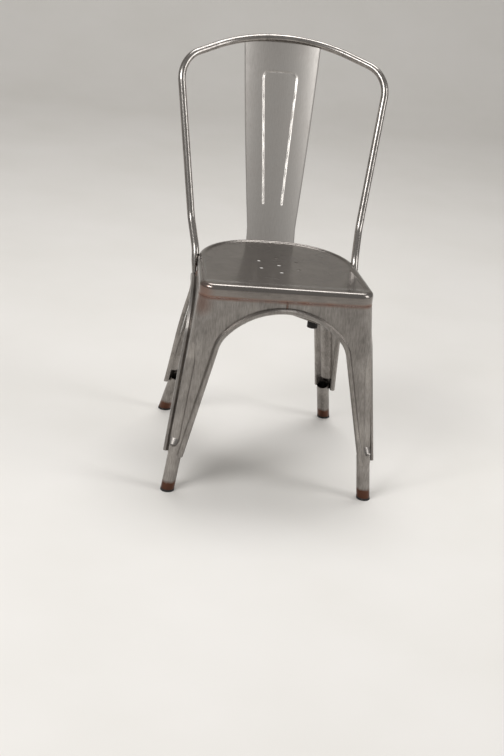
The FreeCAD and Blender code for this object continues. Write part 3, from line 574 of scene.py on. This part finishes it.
def cut_drain_holes(seat, top):
    """Pierces the middle hole and the six round it, through the seat's top."""
    s = sizes()
    cutter = bmesh.new()
    centres = [Vector((0, HOLES_MIDDLE * MM))]
    centres += [
        centres[0] + Vector((math.cos(a), math.sin(a))) * s.hole_circle
        for a in (math.pi / 2 + math.pi / 3 * i for i in range(6))
    ]
    for centre in centres:
        bmesh.ops.create_cone(
            cutter,
            cap_ends=True,
            segments=28,
            radius1=s.hole / 2,
            radius2=s.hole / 2,
            depth=20 * MM,
            matrix=Matrix.Translation((centre.x, centre.y, top)),
        )
    data = bpy.data.meshes.new("drain_hole_cutter")
    cutter.to_mesh(data)
    cutter.free()
    tool = bpy.data.objects.new("drain_hole_cutter", data)
    bpy.context.scene.collection.objects.link(tool)
    holes = seat.modifiers.new("drain holes", "BOOLEAN")
    holes.operation, holes.solver, holes.object = "DIFFERENCE", "EXACT", tool
    apply_modifiers(seat)
    bpy.data.objects.remove(tool)


def build_hoop():
    """The back hoop: one bent steel tube, its ends pressed flat where they are welded under the seat."""
    s = sizes()
    half = [Vector(point) for point in HOOP_POINTS]
    corners = [Vector((-p.x, p.y, p.z)) * MM for p in half[::-1]] + [p * MM for p in half]
    # The end point has no bend, so the bends are one fewer than the points.
    radii = [r * MM for r in HOOP_BENDS[::-1] + HOOP_BENDS]
    path = evenly(rounded_path(corners, radii, 4 * MM), 6 * MM)

    def pressed(distance):
        flat = smooth_step(1 - distance / (HOOP_PRESSED * MM))
        return 1 + 0.1 * flat, 1 - 0.55 * flat

    return piece("hoop_tube", swept(path, s.tube, 28, pressed), "lacquered_steel_tube", "hoop_steel", "back_hoop")


def splat_half_width(z):
    """Half of the splat's width at a height, in millimetres: straight at the foot, then an even flare."""
    if z <= SPLAT_STRAIGHT:
        return float(SPLAT_FOOT_HALF)
    t = (z - SPLAT_STRAIGHT) / (SPLAT_HIGH - SPLAT_STRAIGHT)
    flare = 0.86 * t + 0.37 * t * (1 - t) + 0.14 * t * t
    return SPLAT_FOOT_HALF + (SPLAT_TOP_HALF - SPLAT_FOOT_HALF) * flare


def groove_distance(x, z):
    """Distance in millimetres from the line of the groove: an upside-down U, open at the foot."""
    corner, foot = Vector((GROOVE_WIDE, GROOVE_TOP)), Vector((GROOVE_NARROW, GROOVE_LOW))
    along = (foot - corner).normalized()
    turn = Vector((1, 0)).angle(along)
    reach = GROOVE_BEND * math.tan(turn / 2)
    across_end = corner - Vector((reach, 0))
    centre = across_end - Vector((0, GROOVE_BEND))
    point = Vector((abs(x), z))
    best = math.inf
    for a, b in ((Vector((0, GROOVE_TOP)), across_end), (corner + along * reach, foot)):
        t = min(1.0, max(0.0, (point - a).dot(b - a) / (b - a).length_squared))
        best = min(best, (point - a.lerp(b, t)).length)
    away = point - centre
    if away.x > 0 and away.angle(Vector((0, 1)), 0) <= turn:
        best = min(best, abs(away.length - GROOVE_BEND))
    return best


def build_splat():
    """The back splat: a satin sheet hollowed across, leaning back, with one pressed U-shaped groove."""
    s = sizes()
    hollow, groove_half, groove_deep = s.hollow / MM, s.groove_width / MM / 2, s.groove_depth / MM
    backward = Vector((0, math.cos(SPLAT_LEAN), -math.sin(SPLAT_LEAN)))
    columns, rise = 120, 270
    mesh = bmesh.new()
    rows = []
    for i in range(rise + 1):
        z = SPLAT_LOW + (SPLAT_HIGH - SPLAT_LOW) * i / rise
        half = splat_half_width(z)
        row = []
        for j in range(columns + 1):
            x = half * (2 * j / columns - 1)
            sink = hollow - math.sqrt(hollow * hollow - x * x)
            foot = z - math.sin(SPLAT_LEAN) * sink
            y = SPLAT_FOOT_Y + math.tan(SPLAT_LEAN) * (foot - SPLAT_FOOT_Z) - math.cos(SPLAT_LEAN) * sink
            pressed = smooth_step(1 - groove_distance(x, z) / (groove_half + 0.6)) * groove_deep
            edge = min(half - abs(x), SPLAT_HIGH - z)
            rounded = 0.5 * (1 - min(1.0, edge / 1.6))
            row.append(mesh.verts.new((Vector((x, y, z)) + backward * (pressed + rounded)) * MM))
        rows.append(row)
    grid_faces(mesh, rows)
    bmesh.ops.recalc_face_normals(mesh, faces=mesh.faces)
    splat = piece("hollow_splat", mesh, "satin_steel_splat", "splat_steel", "back_splat")
    thicken(splat, s.splat_sheet, splat.data.polygons[0].normal.y < 0)
    return splat


def build_floor(scene):
    """A pale floor that curves up into a backdrop."""
    mesh = bmesh.new()
    start, bend = 3.2, 1.2
    profile = [(-6.0, 0.0), (start, 0.0)]
    for i in range(1, 13):
        a = math.pi / 2 * i / 12
        profile.append((start + bend * math.sin(a), bend - bend * math.cos(a)))
    profile.append((start + bend, 6.0))
    rows = [[mesh.verts.new((x, y, z)) for x in (-7.0, 7.0)] for y, z in profile]
    grid_faces(mesh, rows)
    bmesh.ops.recalc_face_normals(mesh, faces=mesh.faces)
    data = bpy.data.meshes.new("studio_floor")
    mesh.to_mesh(data)
    mesh.free()
    for face in data.polygons:
        face.use_smooth = True
    floor = bpy.data.objects.new("studio_floor", data)
    scene.collection.objects.link(floor)
    material, tree = new_material("painted_floor_matt")
    place = node(tree, "ShaderNodeTexCoord").outputs["Object"]
    mottle = node(
        tree, "ShaderNodeTexNoise", {"Vector": place}, inputs={"Scale": 3.0, "Detail": 3}
    ).outputs["Fac"]
    patches = ramp(tree, mottle, [(0.3, grey(0)), (0.7, grey(1))])
    body = mixed(tree, patches, colours().floor, srgb("#e2dfda"))
    shader = node(tree, "ShaderNodeBsdfPrincipled", {"Base Color": body}, inputs={"Roughness": 0.85})
    node(tree, "ShaderNodeOutputMaterial", {"Surface": shader.outputs["BSDF"]})
    data.materials.append(material)


def build_lights(scene):
    """Three soft boxes and an even pale room."""
    for name, place, aim, size, watts in SOFTBOXES:
        lamp = bpy.data.lights.new(name, "AREA")
        lamp.shape, lamp.size, lamp.size_y, lamp.energy = "RECTANGLE", *size, watts
        holder = bpy.data.objects.new(name, lamp)
        holder.location = place
        holder.rotation_euler = (Vector(aim) - Vector(place)).to_track_quat("-Z", "Y").to_euler()
        scene.collection.objects.link(holder)

    world = bpy.data.worlds.new("soft_room")
    scene.world = world
    world.use_nodes = True
    tree = world.node_tree
    tree.nodes.clear()
    sky = node(tree, "ShaderNodeBackground", inputs={"Color": srgb("#d9d8d6"), "Strength": 0.55})
    node(tree, "ShaderNodeOutputWorld", {"Surface": sky.outputs["Background"]})


def build_camera(scene):
    """The camera at the photograph's viewing angle."""
    yaw, pitch, roll = CAMERA_YAW, CAMERA_PITCH, CAMERA_ROLL
    right = Vector((math.cos(yaw), math.sin(yaw), 0))
    level = Vector((-math.sin(yaw), math.cos(yaw), 0))
    ahead = level * math.cos(pitch) - Vector((0, 0, math.sin(pitch)))
    up = right.cross(ahead)
    tilted_right = right * math.cos(roll) + up * math.sin(roll)
    tilted_up = up * math.cos(roll) - right * math.sin(roll)
    lens = bpy.data.cameras.new("photo_camera")
    lens.sensor_fit, lens.sensor_width, lens.sensor_height = "AUTO", SENSOR, 24
    lens.lens = FOCAL_PIXELS / FRAME_HEIGHT * SENSOR
    lens.clip_end = 50
    camera = bpy.data.objects.new("photo_camera", lens)
    turned = Matrix((tilted_right, tilted_up, -ahead)).transposed().to_4x4()
    camera.matrix_world = Matrix.Translation(Vector(CAMERA_PLACE) * MM) @ turned
    scene.collection.objects.link(camera)
    scene.camera = camera


# ---------------------------------------------------------------- operators


class CHAIR_OT_seat(bpy.types.Operator):
    """Press the seat from one sheet"""

    bl_idname = "chair.seat"
    bl_label = "Seat"

    def execute(self, context):
        build_seat()
        return {"FINISHED"}


class CHAIR_OT_hoop(bpy.types.Operator):
    """Bend the back hoop from tube"""

    bl_idname = "chair.hoop"
    bl_label = "Back Hoop"

    def execute(self, context):
        build_hoop()
        return {"FINISHED"}


class CHAIR_OT_splat(bpy.types.Operator):
    """Press the back splat with its groove"""

    bl_idname = "chair.splat"
    bl_label = "Back Splat"

    def execute(self, context):
        build_splat()
        return {"FINISHED"}


class CHAIR_OT_legs(bpy.types.Operator):
    """Finish the four leg sheets, the brace and the welds"""

    bl_idname = "chair.legs"
    bl_label = "Legs and Brace"

    def execute(self, context):
        dress_nodes("leg_", "lacquered_steel_legs")
        dress_nodes("brace_", "lacquered_steel_tube")
        dress_nodes("weld_", "weld_bead_steel")
        return {"FINISHED"}


class CHAIR_OT_feet(bpy.types.Operator):
    """Finish the foot tubes, rubber glides and stacking pads"""

    bl_idname = "chair.feet"
    bl_label = "Feet and Pads"

    def execute(self, context):
        dress_nodes("foot_tube_", "lacquered_steel_feet")
        dress_nodes("glide_", "moulded_rubber_black")
        dress_nodes("stacking_pad_", "moulded_rubber_black")
        return {"FINISHED"}


class CHAIR_OT_stage(bpy.types.Operator):
    """Set up the floor, lights and camera"""

    bl_idname = "chair.stage"
    bl_label = "Studio Stage"

    def execute(self, context):
        build_floor(context.scene)
        build_lights(context.scene)
        build_camera(context.scene)
        context.scene.view_settings.view_transform = "Standard"
        return {"FINISHED"}


OPERATORS = (
    CHAIR_OT_seat,
    CHAIR_OT_hoop,
    CHAIR_OT_splat,
    CHAIR_OT_legs,
    CHAIR_OT_feet,
    CHAIR_OT_stage,
)


class CHAIR_PT_sidebar(bpy.types.Panel):
    """Sizes, colours and the steps that build the chair"""

    bl_idname = "CHAIR_PT_sidebar"
    bl_label = "Steel Bistro Chair"
    bl_space_type = "VIEW_3D"
    bl_region_type = "UI"
    bl_category = "Chair"

    def draw(self, context):
        for group in (context.scene.chair_sizes, context.scene.chair_colours):
            column = self.layout.column(align=True)
            for name in group.__annotations__:
                column.prop(group, name)
        column = self.layout.column()
        for operator in OPERATORS:
            column.operator(operator.bl_idname)


CLASSES = (ChairSizes, ChairColours, *OPERATORS, CHAIR_PT_sidebar)


def register():
    for cls in CLASSES:
        bpy.utils.register_class(cls)
    bpy.types.Scene.chair_sizes = PointerProperty(type=ChairSizes)
    bpy.types.Scene.chair_colours = PointerProperty(type=ChairColours)


def unregister():
    del bpy.types.Scene.chair_colours
    del bpy.types.Scene.chair_sizes
    for cls in reversed(CLASSES):
        bpy.utils.unregister_class(cls)


def main():
    """Builds the whole chair and its stage."""
    register()
    bpy.ops.chair.seat()
    bpy.ops.chair.hoop()
    bpy.ops.chair.splat()
    bpy.ops.chair.legs()
    bpy.ops.chair.feet()
    bpy.ops.chair.stage()


if __name__ == "__main__":
    main()
